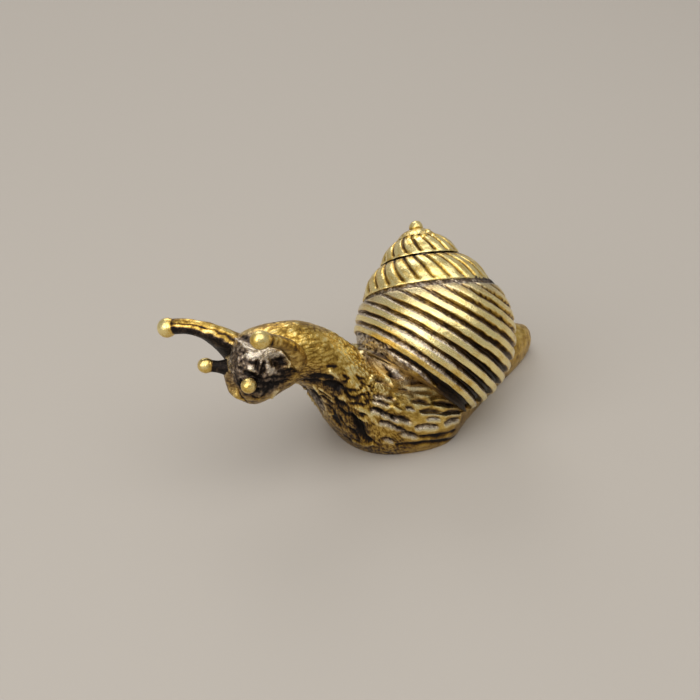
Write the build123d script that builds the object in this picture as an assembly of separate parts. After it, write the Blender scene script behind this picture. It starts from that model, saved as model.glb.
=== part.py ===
from build123d import *
import math
import os

# A cast brass snail about 42 mm long, in millimetres.
# +X points to the tail, +Y to the snail's right side, +Z up.
# The origin is on the sole, under the shell.

# Ball of the shell, its last and largest whorl
BALL_RADIUS = 8.2  # over the crests of the ribs
BALL_X = 2.2
BALL_Y = -1.6
BALL_Z = 9.0
RIB_DEPTH = 0.5
POLE_ELEVATION = 42.6  # degrees, the rings of ribs are stacked along this line
POLE_TURN = 8.4
RING_STEP = 8.45  # degrees from groove to groove
FIRST_GROOVE = 11.4  # degrees from the pole of the rings
GROOVE_COUNT = 14
GROOVE_SHARE = 0.2  # of a step, from the bottom of a groove to its edge
GROOVE_EDGE_SHARE = 0.2  # of the rib depth, how far its edge is rounded down
MOUTH_REACH = 5.1  # from the middle of the ball to the plane of the mouth

# Spire of the shell, a spiral whose radius and drop grow as powers of its turns
SPIRE_TURNS = 3
STEPS_PER_TURN = 52
SEAM_RADIUS = 5.93  # of the seam after the last turn
SPIRE_DROP = 6.22  # from the apex down to the seam after the last turn
RADIUS_POWER = 1.265
DROP_POWER = 1.656
SPIRE_RISE = 3.56  # of the apex above the ball
APEX_ELEVATION = 48.96  # degrees, seen from the middle of the ball
APEX_TURN = 63.9
AXIS_ELEVATION = 49.84
AXIS_TURN = 51.72
START_TURN = -40.4
LEAN_SHARE = 0.204  # sideways drift of the whorls, as a share of their drop
SLANT_STEPS = 3  # how far a rib trails round the axis from seam to seam
STEPS_PER_RIB = 2
STEPS_PER_COARSE_RIB = 3
COARSE_TURNS = 2  # that carry the coarse ribs
BULGE_SHARE = 0.13  # of the width of a whorl
SPIRE_RIB_SHARE = 0.085
DOWN_SHARES = (0, 0.15, 0.38, 0.62, 0.85, 1)  # places along a line of growth
RUN_OUT_TURNS = 0.5  # over which the spiral sinks into the ball at the back
BURY = 0.5  # how deep it runs out under the ball
BEAD_RADIUS = 0.5

# Channel of the seam, where the ball stops short of the whorl above it
CHANNEL_WIDTH = 0.3
CHANNEL_DEPTH = 0.8
CHANNEL_START = 2.9  # turns
CHANNEL_END = 3.6
CHANNEL_STEPS = 14

# Body, from the tip of the tail to the snout. Each row gives the shares of the length
# ahead of the origin, of the side reach, of the height, of the width and of the height
# again for its half height, then the tilt and the turn of its section in degrees.
BODY_LENGTH = 40.0
SIDE_REACH = 3.2  # of the head to the snail's right
NECK_HEIGHT = 12.0
FOOT_WIDTH = 14.6
BODY_SHARES = (
    (-0.481, 0.08, 0.10, 0.030, 0.055, 0, 180),
    (-0.454, 0.04, 0.11, 0.090, 0.160, 0, 180),
    (-0.388, -0.02, 0.11, 0.146, 0.240, 0, 180),
    (-0.250, -0.04, 0.11, 0.255, 0.275, 0, 180),
    (-0.100, -0.05, 0.12, 0.385, 0.335, 0, 180),
    (0.025, -0.05, 0.18, 0.505, 0.470, 0, 180),
    (0.155, 0.03, 0.325, 0.437, 0.450, 6, 177),
    (0.215, 0.06, 0.56, 0.325, 0.370, 18, 172),
    (0.273, 0.19, 0.85, 0.232, 0.275, 24, 166),
    (0.325, 0.42, 1.00, 0.198, 0.245, 15, 165),
    (0.381, 0.66, 1.00, 0.214, 0.275, -6, 165),
    (0.432, 0.83, 0.955, 0.218, 0.290, -16, 165),
    (0.471, 0.93, 0.878, 0.163, 0.246, -20, 165),
    (0.496, 0.97, 0.825, 0.068, 0.125, -24, 165),
)
OVAL_POINTS = 8  # that each section runs through
SADDLE_HEIGHT = 2.2  # flat seat of the shell over the foot
SEAT_GAP = 0.15

# Folds pressed into both flanks, each the shape of a small boat's hull. Each row gives the
# share of the length ahead, of the height and of a fold's length, and its slope in degrees.
FOLD_LENGTH = 4.6
FOLD_WIDTH = 0.7
FOLD_DEPTH = 0.35
FOLD_SHARES = (
    (0.094, 0.505, 0.60, -21),
    (0.008, 0.415, 0.55, -25),
    (0.188, 0.628, 0.70, -23),
    (0.071, 0.405, 0.70, -18),
    (0.005, 0.280, 0.70, -16),
    (0.159, 0.437, 0.60, -27),
    (0.094, 0.300, 0.75, -17),
    (0.205, 0.421, 0.55, -25),
    (0.145, 0.240, 0.60, -27),
    (0.040, 0.180, 0.90, -13),
    (0.249, 0.710, 0.90, -25),
    (0.281, 0.600, 0.80, -71),
    (0.240, 0.360, 0.95, -60),
)

# Spigot that locates the shell on the body
SPIGOT_RADIUS = 2.0
SPIGOT_LENGTH = 3.0
SPIGOT_GAP = 0.1

# Eye stalks above and feelers below, each with a ball on its tip and a peg at its root
UPPER_ROOT_RADIUS = 0.85
UPPER_TIP_RADIUS = 0.62
UPPER_BALL_RADIUS = 0.86
STOUT_ROOT_RADIUS = 1.0  # of the stalk on the snail's right, the stouter one
STOUT_TIP_RADIUS = 0.74
STOUT_BALL_RADIUS = 0.93
LOWER_ROOT_RADIUS = 0.85
LOWER_TIP_RADIUS = 0.58
LOWER_BALL_RADIUS = 0.7
PEG_RADIUS = 0.4
PEG_LENGTH = 1.2
PEG_GAP = 0.05
SPOT_FACE_DEPTH = 1.6  # of the cutter that levels the head round a root
STALK_SECTIONS = 4

# Root, bend and tip, as shares of the length ahead, the side reach and the height
UPPER_RIGHT_SHARES = ((0.450, 1.40, 1.105), (0.508, 2.22, 1.225), (0.555, 3.01, 1.19))
UPPER_LEFT_SHARES = ((0.372, -0.19, 1.095), (0.4175, -0.36, 1.30), (0.4915, -0.48, 1.455))
LOWER_RIGHT_SHARES = ((0.477, 1.16, 0.965), (0.502, 1.40, 0.975), (0.5275, 1.63, 0.99))
LOWER_LEFT_SHARES = ((0.466, 0.34, 0.94), (0.485, 0.13, 0.975), (0.5055, -0.10, 1.015))

OVERRUN = 20.0  # how far a cutting tool runs past what it cuts
STANDING = (Align.CENTER, Align.CENTER, Align.MIN)
HANGING = (Align.CENTER, Align.CENTER, Align.MAX)


def direction(elevation, turn):
    """Unit vector at an elevation above the ground and a turn from +X."""
    up = math.radians(elevation)
    about = math.radians(turn)
    return Vector(math.cos(up) * math.cos(about), math.cos(up) * math.sin(about), math.sin(up))


BALL = Vector(BALL_X, BALL_Y, BALL_Z)
POLE = direction(POLE_ELEVATION, POLE_TURN)
MOUTH = BALL - POLE * MOUTH_REACH
AXIS = direction(AXIS_ELEVATION, AXIS_TURN)
APEX = BALL + direction(APEX_ELEVATION, APEX_TURN) * (BALL_RADIUS + SPIRE_RISE)
LEVEL = direction(0, START_TURN)
START = (LEVEL - AXIS * LEVEL.dot(AXIS)).normalized()
SIDE = AXIS.cross(START)


def around(turn):
    """Unit vector from the axis of the spire outwards, some turns from its start."""
    angle = math.radians(360 * turn)
    return START * math.cos(angle) - SIDE * math.sin(angle)


def seam_point(turn):
    """Point on the seam between the whorls, some turns down from the apex."""
    share = max(turn, 0) / SPIRE_TURNS
    drop = SPIRE_DROP * share**DROP_POWER
    radius = SEAM_RADIUS * share**RADIUS_POWER
    return APEX - AXIS * drop + START * (LEAN_SHARE * drop) + around(turn) * radius


def outward(turn):
    """Unit vector square to the whorl, pointing out of the shell."""
    slope = seam_point(turn + 1) - seam_point(turn)
    square = slope.cross(AXIS.cross(around(turn))).normalized()
    return square if square.dot(around(turn)) > 0 else square * -1


def growth_line(index):
    """One line of growth, from the seam above a whorl to the seam below it."""
    turn = index / STEPS_PER_TURN
    slant = SLANT_STEPS / STEPS_PER_TURN
    if index == 0:
        return Line(seam_point(0), seam_point(1 - slant))
    steps_per_rib = STEPS_PER_COARSE_RIB if turn < COARSE_TURNS else STEPS_PER_RIB
    is_groove = index % steps_per_rib == 0
    runs_out = max(0, turn - SPIRE_TURNS + RUN_OUT_TURNS) / RUN_OUT_TURNS
    points = []
    for down in DOWN_SHARES:
        upper = seam_point(turn - down * slant)
        lower = seam_point(turn - down * slant + 1)
        swell = 4 * down * (1 - down) * BULGE_SHARE
        if is_groove and 0 < down < 1:
            swell -= SPIRE_RIB_SHARE * math.sqrt(math.sin(math.pi * down))
        point = upper * (1 - down) + lower * down
        point += outward(turn - down * slant) * ((lower - upper).length * swell)
        buried = BALL + (point - BALL).normalized() * (BALL_RADIUS - BURY)
        bury = runs_out * math.sin(math.pi / 2 * down)
        points.append(point * (1 - bury) + buried * bury)
    if index == SPIRE_TURNS * STEPS_PER_TURN:
        return Line(points[0], points[-1])
    return Spline(points)


def triangle(a, b, c):
    return Face(Wire.make_polygon([a, b, c], close=True))


def spire():
    """The ribbed spiral above the ball, sewn from strips between growth lines."""
    last = SPIRE_TURNS * STEPS_PER_TURN
    lines = [growth_line(index) for index in range(last + 1)]
    faces = [Face.make_surface_from_curves(a.edge(), b.edge()) for a, b in zip(lines, lines[1:])]
    tops = [line @ 0 for line in lines]
    feet = [line @ 1 for line in lines]
    # A cap closes the start of the spiral, and a fan its end inside the ball.
    for index in range(1, STEPS_PER_TURN - SLANT_STEPS):
        faces.append(triangle(APEX, tops[index], tops[index + 1]))
    for index in range(last - STEPS_PER_TURN + SLANT_STEPS, last):
        faces.append(triangle(BALL, feet[index], feet[index + 1]))
    faces.append(triangle(BALL, feet[last], tops[last]))
    return Solid(Shell(faces)) + Pos(APEX) * Sphere(BEAD_RADIUS)


def ball():
    """The largest whorl: rings of ribs, stacked along a line that leans to the tail."""
    step = math.radians(RING_STEP)

    def at(depth, angle):
        radius = BALL_RADIUS - depth
        return Vector(radius * math.sin(angle), 0, radius * math.cos(angle))

    edge = RIB_DEPTH * GROOVE_EDGE_SHARE
    points = [at(0, 0)]
    for count in range(GROOVE_COUNT):
        groove = math.radians(FIRST_GROOVE) + count * step
        points += [at(0, groove - step / 2), at(edge, groove - step * GROOVE_SHARE)]
        points += [at(RIB_DEPTH, groove), at(edge, groove + step * GROOVE_SHARE)]
    end = groove + step / 2
    points.append(at(0, end))
    rest = ThreePointArc(at(0, end), at(0, (end + math.pi) / 2), at(0, math.pi))
    outline = [Polyline(points), rest, Line(at(0, math.pi), at(0, 0))]
    section = Face(Wire([edge for line in outline for edge in line.edges()]))
    return Plane(origin=BALL, z_dir=POLE).location * revolve(section, Axis.Z)


def seam_channel():
    """What the ball leaves free for the whorl above it, on the side of the seam that shows."""
    rim = []
    for count in range(CHANNEL_STEPS + 1):
        turn = CHANNEL_START + (CHANNEL_END - CHANNEL_START) * count / CHANNEL_STEPS
        below = seam_point(turn) - AXIS * CHANNEL_WIDTH - BALL
        rim.append(BALL + below.normalized() * OVERRUN)
    top = BALL + (APEX - BALL).normalized() * OVERRUN
    faces = [triangle(BALL, top, rim[0]), triangle(BALL, rim[-1], top)]
    for a, b in zip(rim, rim[1:]):
        faces += [triangle(BALL, a, b), triangle(top, b, a)]
    return Solid(Shell(faces)) - Pos(BALL) * Sphere(BALL_RADIUS - CHANNEL_DEPTH)


def behind_mouth():
    """Everything on the shell's side of the mouth, above the saddle of the foot."""
    size = 2 * OVERRUN
    half_space = Plane(origin=MOUTH, z_dir=POLE).location * Box(size, size, size, align=STANDING)
    return half_space & Pos(0, 0, SADDLE_HEIGHT) * Box(size, size, size, align=STANDING)


def spigot(gap=0):
    """Round stub on the body's seat that enters the mouth of the shell."""
    stub = Cylinder(SPIGOT_RADIUS + gap, SPIGOT_LENGTH + gap, align=STANDING)
    return Plane(origin=MOUTH, z_dir=POLE).location * stub


def shell_casting():
    whole = ball() - seam_channel() + spire()
    return (whole & behind_mouth()) - spigot(SPIGOT_GAP)


def oval(plane, half_width, half_height):
    """Closed smooth section, always started at its lowest point so that lofts don't twist."""
    points = []
    for count in range(OVAL_POINTS):
        angle = 2 * math.pi * count / OVAL_POINTS - math.pi / 2
        across = plane.x_dir * (half_width * math.cos(angle))
        points.append(plane.origin + across + plane.y_dir * (half_height * math.sin(angle)))
    return Face(Wire(Spline(points, periodic=True).edges()))


def body_point(ahead, side, height):
    """Place given as shares of the body's length, side reach and height."""
    return Vector(-BODY_LENGTH * ahead, SIDE_REACH * side, NECK_HEIGHT * height)


def snail_body():
    """Tail, foot, neck and head in one loft through upright and leaning sections."""
    sections = []
    for ahead, side, height, half_width, half_height, tilt, turn in BODY_SHARES:
        along = direction(tilt, turn)
        across = Vector(0, 1, 0) - along * along.Y
        plane = Plane(origin=body_point(ahead, side, height), x_dir=across, z_dir=along)
        sections.append(oval(plane, FOOT_WIDTH * half_width, NECK_HEIGHT * half_height))
    return loft(sections)


def fold_cutter(body, side, ahead, height, length, slope):
    """Boat-shaped tool on the flank of the body; side is -1 or 1 along Y."""
    start = Vector(-BODY_LENGTH * ahead, side * OVERRUN, NECK_HEIGHT * height)
    middle, square = body.find_intersection_points(Axis(start, Vector(0, -side, 0)))[0]
    level = Vector(0, 0, 1).cross(square).normalized() * -side
    along = level.rotate(Axis((0, 0, 0), square), -side * slope)
    bow = along * (FOLD_LENGTH * length / 2)
    beam = square.cross(along) * (FOLD_WIDTH / 2)
    keel = square * -FOLD_DEPTH
    faces = []
    for a, b in ((bow, beam), (beam, bow * -1), (bow * -1, beam * -1), (beam * -1, bow)):
        faces.append(triangle(middle + a, middle + b, middle - keel))
        faces.append(triangle(middle + b, middle + a, middle + keel))
    return Solid(Shell(faces))


def route(shares):
    return Spline([body_point(*share) for share in shares])


def root_location(shares):
    path = route(shares)
    return Plane(origin=path @ 0, z_dir=path % 0).location


def stalk(shares, root_radius, tip_radius, ball_radius):
    """Tapered stalk along a bent line, with a ball on its tip and a peg at its root."""
    path = route(shares)
    sections = []
    for count in range(STALK_SECTIONS):
        share = count / (STALK_SECTIONS - 1)
        plane = Plane(origin=path @ share, z_dir=path % share)
        sections.append(plane * Circle(root_radius + (tip_radius - root_radius) * share))
    tip = Plane(origin=path @ 1, z_dir=path % 1).location * Sphere(ball_radius)
    peg = root_location(shares) * Cylinder(PEG_RADIUS, PEG_LENGTH, align=HANGING)
    return loft(sections, ruled=True) + tip + peg


def stalk_seat(shares, root_radius):
    """Spot face and hole in the head that take the root and the peg of a stalk."""
    face = Cylinder(root_radius + PEG_GAP, SPOT_FACE_DEPTH, align=STANDING)
    hole = Cylinder(PEG_RADIUS + PEG_GAP, PEG_LENGTH + PEG_GAP, align=HANGING)
    return root_location(shares) * (face + hole)


UPPER_SIZES = (UPPER_ROOT_RADIUS, UPPER_TIP_RADIUS, UPPER_BALL_RADIUS)
STOUT_SIZES = (STOUT_ROOT_RADIUS, STOUT_TIP_RADIUS, STOUT_BALL_RADIUS)
LOWER_SIZES = (LOWER_ROOT_RADIUS, LOWER_TIP_RADIUS, LOWER_BALL_RADIUS)
STALKS = {
    "upper_tentacle_right": (UPPER_RIGHT_SHARES, STOUT_SIZES),
    "upper_tentacle_left": (UPPER_LEFT_SHARES, UPPER_SIZES),
    "lower_feeler_right": (LOWER_RIGHT_SHARES, LOWER_SIZES),
    "lower_feeler_left": (LOWER_LEFT_SHARES, LOWER_SIZES),
}


def body_casting():
    """Body on its flat sole, with its folds and the seats of the shell and of the stalks."""
    below = Box(2 * BODY_LENGTH, 2 * OVERRUN, OVERRUN, align=HANGING)
    shell_room = Pos(BALL) * Sphere(BALL_RADIUS + SEAT_GAP) & behind_mouth()
    smooth = snail_body() - below
    body = smooth - shell_room + spigot()
    body -= [fold_cutter(smooth, side, *fold) for side in (-1, 1) for fold in FOLD_SHARES]
    body -= [stalk_seat(shares, sizes[0]) for shares, sizes in STALKS.values()]
    return body


if __name__ == "__main__":
    os.makedirs("parts", exist_ok=True)
    export_step(shell_casting(), "parts/shell_casting.step")
    export_step(body_casting(), "parts/body_casting.step")
    for name, (shares, sizes) in STALKS.items():
        export_step(stalk(shares, *sizes), f"parts/{name}.step")
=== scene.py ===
# %% [markdown]
# # A small brass snail
# The real ornament is cast in brass, stained dark all over and then rubbed bright on all that
# stands proud. Its look comes from crisp relief, which is modelled in the meshes, and from a
# finish that is near black in the hollows and pale gold on the ridges. So each mesh gets two
# marks while it is shaped, "hollow" and "patina", and one brass material reads them. In places
# the "hollow" mark also carries painted shadow, painted shade and painted highlight.

# %% Open the imported model as the frame
import bmesh
import bpy
import math
import numpy as np
from mathutils import Matrix, Vector, noise
from mathutils.bvhtree import BVHTree


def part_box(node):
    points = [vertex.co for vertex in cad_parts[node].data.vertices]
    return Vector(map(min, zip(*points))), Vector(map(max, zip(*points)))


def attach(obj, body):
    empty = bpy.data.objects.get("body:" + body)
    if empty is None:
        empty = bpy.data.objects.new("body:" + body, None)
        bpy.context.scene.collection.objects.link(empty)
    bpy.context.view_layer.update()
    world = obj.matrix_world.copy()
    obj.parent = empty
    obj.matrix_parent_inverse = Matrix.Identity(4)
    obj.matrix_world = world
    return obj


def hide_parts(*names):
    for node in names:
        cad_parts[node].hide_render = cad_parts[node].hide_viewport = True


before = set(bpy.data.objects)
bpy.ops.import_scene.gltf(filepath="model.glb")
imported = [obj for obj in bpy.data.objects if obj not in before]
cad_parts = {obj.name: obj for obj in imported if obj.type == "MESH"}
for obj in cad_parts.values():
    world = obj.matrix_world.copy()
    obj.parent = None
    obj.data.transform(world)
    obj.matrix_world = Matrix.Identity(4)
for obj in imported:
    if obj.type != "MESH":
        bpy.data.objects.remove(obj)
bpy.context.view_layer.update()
scene = bpy.context.scene
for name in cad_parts:
    low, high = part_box(name)
    print("frame piece", name, [round(1000 * (b - a), 1) for a, b in zip(low, high)], "mm")

# %% [markdown]
# ## Working in millimetres
# The snail is only 42 mm long, so its sizes are written in millimetres and each mesh is scaled
# down to metres when it is finished. A few helpers do what the later cells need: a soft step,
# a direction from two angles, smooth noise, a rolled grid, a plane cut, and the last step that
# turns a bmesh into an object and stores its marks as attributes.

# %% Helpers for shapes
MM = 0.001  # metres
WELD_GAP = 0.0005  # mm, points nearer to each other than this become one
CUT_GAP = 0.001  # mm, points nearer to a cutting plane than this lie on it


def direction(elevation, turn):
    """Unit vector at an elevation above the ground and a turn from +X, in degrees."""
    up, about = math.radians(elevation), math.radians(turn)
    return np.array([math.cos(up) * math.cos(about), math.cos(up) * math.sin(about),
                     math.sin(up)])


def ease(start, end, value):
    """0 before start, 1 after end, and a smooth rise between; start may be the larger."""
    share = np.clip((value - start) / (end - start), 0, 1)
    return share * share * (3 - 2 * share)


def window(start, end, value, blur):
    """1 between start and end, and 0 outside, with soft edges as wide as blur."""
    half = blur / 2
    return ease(start - half, start + half, value) * ease(end + half, end - half, value)


def places(bm):
    return np.array([vert.co for vert in bm.verts])


def normals(bm):
    bm.normal_update()
    return np.array([vert.normal for vert in bm.verts])


def move_to(bm, points):
    for vert, point in zip(bm.verts, points):
        vert.co = point


def rough(points, size, seed=0.0):
    """Smooth noise from -1 to 1 whose bumps are about size across."""
    shift = Vector((seed, -seed, 2 * seed))
    return np.array([noise.noise(Vector(point) / size + shift) for point in points])


def rolled_grid(along, around, place):
    """A grid rolled into a closed tube; place takes the shares along it and around it."""
    bm = bmesh.new()
    bmesh.ops.create_grid(bm, x_segments=along, y_segments=around, size=0.5)
    for vert in bm.verts:
        vert.co = place(vert.co.x + 0.5, vert.co.y + 0.5)
    bmesh.ops.remove_doubles(bm, verts=bm.verts, dist=WELD_GAP)
    close_up(bm)
    return bm


def close_up(bm):
    """Fills every open border and turns all faces outwards."""
    bmesh.ops.holes_fill(bm, edges=[edge for edge in bm.edges if edge.is_boundary], sides=0)
    bmesh.ops.recalc_face_normals(bm, faces=bm.faces)


def cut_off(bm, place, outwards):
    """Takes away all that lies beyond a plane and closes the cut."""
    bmesh.ops.bisect_plane(bm, geom=bm.verts[:] + bm.edges[:] + bm.faces[:], dist=CUT_GAP,
                           plane_co=place, plane_no=outwards, clear_outer=True)
    close_up(bm)


def add_ball(bm, middle, radius, around, down):
    """Adds a sphere with so many faces around it and down it."""
    bmesh.ops.create_uvsphere(bm, u_segments=around, v_segments=down, radius=radius,
                              matrix=Matrix.Translation(Vector(middle)))


def finished(bm, name, material, node, slot, **marks):
    """Scales a bmesh to metres, makes it an object and stores its marks as attributes."""
    bmesh.ops.scale(bm, vec=(MM, MM, MM), verts=bm.verts)
    mesh = bpy.data.meshes.new(name)
    bm.to_mesh(mesh)
    bm.free()
    mesh.polygons.foreach_set("use_smooth", [True] * len(mesh.polygons))
    for mark, values in marks.items():
        data = mesh.attributes.new(mark, "FLOAT", "POINT").data
        data.foreach_set("value", np.asarray(values, dtype=np.float32))
    piece = bpy.data.objects.new(name, mesh)
    scene.collection.objects.link(piece)
    mesh.materials.append(material)
    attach(piece, "root")
    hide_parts(node)
    print(name, len(mesh.polygons), "faces")


# %% [markdown]
# ## The camera
# The camera stands where the photograph was taken from: low over the snail's left shoulder,
# about 13 cm away, with a slight roll. Its lens is given in pixels of a picture that is 700
# pixels wide. The same camera later carries the sculpting brush: a stroke is drawn in the
# picture, and each of its points is thrown along the line of sight onto the mesh.

# %% Camera
PICTURE = 700  # pixels
FOCAL = 1209.5  # pixels
SENSOR = 36.0  # mm
CAMERA_PLACE = np.array([-72.65, -73.05, 74.92])
CAMERA_DIP = 33.32  # degrees below the horizon
CAMERA_TURN = 48.4
CAMERA_ROLL = 1.27

forward = direction(-CAMERA_DIP, CAMERA_TURN)
level = np.cross(forward, (0, 0, 1))
level /= np.linalg.norm(level)
roll = math.radians(CAMERA_ROLL)
right = level * math.cos(roll) + np.cross(level, forward) * math.sin(roll)
upward = np.cross(right, forward)

camera_data = bpy.data.cameras.new("camera")
camera_data.sensor_fit = "HORIZONTAL"
camera_data.sensor_width = SENSOR
camera_data.lens = FOCAL / PICTURE * SENSOR
camera_data.clip_start = 0.001
camera = bpy.data.objects.new("camera", camera_data)
camera.matrix_world = Matrix([[*row, place * MM] for row, place in
                              zip(np.array([right, upward, -forward]).T, CAMERA_PLACE)]
                             + [[0, 0, 0, 1]])
scene.collection.objects.link(camera)
scene.camera = camera
print("camera looks along", np.round(forward, 3))

# %% [markdown]
# ## Sculpting with strokes
# A modeller in wax presses short strokes with a rounded tool. Here a stroke is a line of
# pixels in the photograph, with the half width of the tool and how deep it is pressed, in
# millimetres; a negative depth raises a ridge. A stroke is narrow at both ends, like a leaf.
# Pressing also darkens the place, raising brightens it, and a spot of patina turns it grey.

# %% Sculpture
TIP_WIDTH = 0.4  # width of a stroke at its ends, as a share of the width at its middle
SOFTNESS = 1.3  # how gently a stroke fades to its sides
RAISED_STAIN = -0.7  # a raised stroke brightens less than a pressed one darkens


class Sculpture:
    """A bmesh with the strokes that are pressed into it and the marks for its finish."""

    def __init__(self, bm):
        self.bm = bm
        self.tree = BVHTree.FromBMesh(bm)
        self.points = places(bm)
        self.square = normals(bm)
        self.push, self.hollow, self.patina = np.zeros((3, len(self.points)))

    def seen(self, x, y):
        """Where a pixel's line of sight meets the surface, or passes nearest to it."""
        aside, down = (x - PICTURE / 2) / FOCAL, (y - PICTURE / 2) / FOCAL
        line = forward + right * aside - upward * down
        line /= np.linalg.norm(line)
        hit = self.tree.ray_cast(Vector(CAMERA_PLACE), Vector(line))[0]
        if hit is None:
            offset = self.points - CAMERA_PLACE
            gap = np.linalg.norm(offset - np.outer(offset @ line, line), axis=1)
            hit = Vector(self.points[np.argmin(gap)])
        return hit

    def traced(self, pixels):
        """A line of pixels, thrown onto the surface."""
        return [self.seen(x, y) for x, y in pixels]

    def mirrored(self, line, middle):
        """The same line on the other flank."""
        return [self.tree.find_nearest(Vector((p.x, 2 * middle - p.y, p.z)))[0] for p in line]

    def stroke(self, line, half_width):
        """1 along a line of points in space, fading to 0 beside it."""
        best = np.full(len(self.points), np.inf)
        along = np.zeros(len(self.points))
        lengths = [(end - start).length for start, end in zip(line, line[1:])]
        run = 0
        for start, end, length in zip(line, line[1:], lengths):
            step = np.array(end - start)
            share = np.clip((self.points - np.array(start)) @ step / length**2, 0, 1)
            gap = np.linalg.norm(self.points - np.array(start) - share[:, None] * step, axis=1)
            along = np.where(gap < best, (run + share * length) / sum(lengths), along)
            best = np.minimum(best, gap)
            run += length
        taper = TIP_WIDTH + (1 - TIP_WIDTH) * np.sqrt(4 * along * (1 - along))
        return np.exp(-(best / (half_width * taper))**2 / SOFTNESS)

    def press(self, line, half_width, depth, stain):
        """Presses a stroke in, or raises it where depth is negative, and stains it."""
        soft = self.stroke(line, half_width)
        self.push -= depth * soft
        self.hollow += soft * stain * (1 if depth > 0 else RAISED_STAIN)

    def spot(self, x, y, radius, patina, stain):
        """A round spot of patina, and of stain."""
        gap = np.linalg.norm(self.points - np.array(self.seen(x, y)), axis=1)
        soft = np.exp(-(gap / radius)**2)
        self.patina += patina * soft
        self.hollow += stain * soft


print("stroke tools ready")

# %% [markdown]
# ## Antiqued brass
# On the real piece the stain sits in the hollows and the polish on the ridges, and between them
# lies a warm brown. A colour ramp on the "hollow" mark gives the order of the colours, and
# noise shifts the borders so that they look rubbed rather than drawn. Where the "patina" mark
# is high the brass was never rubbed: a second ramp runs from pewter grey to soot, and a coarser
# grain makes it sparkle. Both are metal, so the lamps show in them as in the real thing.


# %% Node helpers
class Nodes:
    """Short way to add and link the nodes of one material."""

    def __init__(self, name):
        self.material = bpy.data.materials.new(name)
        self.material.use_nodes = True
        self.tree = self.material.node_tree
        self.shader = self.tree.nodes["Principled BSDF"]
        self.place = self.add("ShaderNodeTexCoord").outputs["Object"]

    def add(self, kind, inputs=(), **settings):
        node = self.tree.nodes.new(kind)
        for key, value in settings.items():
            setattr(node, key, value)
        for socket, value in dict(inputs).items():
            if isinstance(value, bpy.types.NodeSocket):
                self.tree.links.new(value, node.inputs[socket])
            else:
                node.inputs[socket].default_value = value
        return node

    def math(self, operation, *values, clamp=False):
        node = self.add("ShaderNodeMath", dict(enumerate(values)), operation=operation)
        node.use_clamp = clamp
        return node.outputs[0]

    def mark(self, name):
        return self.add("ShaderNodeAttribute", attribute_name=name).outputs["Fac"]

    def noise(self, per_metre, detail):
        inputs = {"Vector": self.place, "Scale": per_metre, "Detail": detail, "Roughness": 0.55}
        return self.add("ShaderNodeTexNoise", inputs).outputs["Fac"]

    def spread(self, value, low, high, to_low=0.0, to_high=1.0):
        inputs = {"Value": value, "From Min": low, "From Max": high,
                  "To Min": to_low, "To Max": to_high}
        return self.add("ShaderNodeMapRange", inputs).outputs["Result"]

    def ramp(self, value, stops):
        node = self.add("ShaderNodeValToRGB", {"Fac": value})
        points = node.color_ramp.elements
        while len(points) < len(stops):
            points.new(0.5)
        for point, (position, colour) in zip(points, stops):
            point.position = position
            point.color = (*colour, 1)
        return node.outputs["Color"]

    def mixed(self, share, first, second):
        """One colour going over into another; sockets 0, 6 and 7 take the share and the two."""
        inputs = {0: share, 6: first, 7: second}
        return self.add("ShaderNodeMix", inputs, data_type="RGBA").outputs[2]


# %% Brass finishes
SOOT = (0.010, 0.007, 0.006)
UMBER = (0.085, 0.045, 0.016)
OLD_GOLD = (0.35, 0.205, 0.036)
GOLD = (0.72, 0.49, 0.12)
PALE_GOLD = (0.97, 0.83, 0.40)
PEWTER = (0.62, 0.55, 0.47)
ASH = (0.17, 0.13, 0.105)
RUBBED = ((0.0, PALE_GOLD), (0.25, GOLD), (0.5, OLD_GOLD), (0.72, UMBER), (0.92, SOOT))
UNRUBBED = ((0.1, PEWTER), (0.5, ASH), (0.9, SOOT))
CLOUDS, PITS, GRAIN, GLINTS = 900, 3000, 6500, 14000  # bumps of each noise in a metre
BORDER_SHIFT = 0.12  # how far clouds and grain each move the borders between the colours
ROUGHNESS = (0.24, 0.44)  # of bright crests and of black hollows
GLINT_ROUGHNESS = 0.09
BUMP_HEIGHT = 0.00006  # metres
POLISH = {"body": 0.0, "shell": 0.08, "stalk": 0.1}


def antiqued_brass(name, polish):
    """Brass with stained hollows; polish moves the whole finish towards the bright end."""
    nodes = Nodes(name)
    patina = nodes.mark("patina")
    cloudy = nodes.noise(CLOUDS, 4)
    grainy = nodes.noise(GRAIN, 3)
    shift = nodes.math("ADD", nodes.spread(cloudy, 0.3, 0.7, -BORDER_SHIFT, BORDER_SHIFT),
                       nodes.spread(grainy, 0.3, 0.7, -BORDER_SHIFT, BORDER_SHIFT))
    depth = nodes.math("ADD", nodes.mark("hollow"), shift)
    depth = nodes.math("SUBTRACT", depth, polish, clamp=True)
    rubbed = nodes.ramp(depth, RUBBED)
    unrubbed = nodes.ramp(depth, UNRUBBED)
    grey = nodes.math("MULTIPLY", patina, nodes.spread(grainy, 0.35, 0.6, 0.7, 1.1), clamp=True)
    colour = nodes.mixed(grey, rubbed, unrubbed)
    glint = nodes.noise(GLINTS, 2)
    roughness = nodes.math("ADD", nodes.spread(depth, 0.0, 1.0, *ROUGHNESS),
                           nodes.spread(glint, 0.3, 0.7, -GLINT_ROUGHNESS, GLINT_ROUGHNESS))
    metallic = nodes.spread(depth, 0.6, 1.0, 1.0, 0.8)
    pitted = nodes.math("MULTIPLY", nodes.noise(PITS, 4), 0.6)
    sandy = nodes.math("MULTIPLY", grainy, nodes.spread(patina, 0.0, 1.0, 0.35, 1.2))
    height = nodes.math("ADD", pitted, sandy)
    bump = nodes.add("ShaderNodeBump",
                     {"Height": height, "Distance": BUMP_HEIGHT, "Strength": 1.0})
    results = {"Base Color": colour, "Roughness": roughness, "Metallic": metallic,
               "Normal": bump.outputs["Normal"]}
    for socket, value in results.items():
        nodes.tree.links.new(value, nodes.shader.inputs[socket])
    return nodes.material


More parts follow.
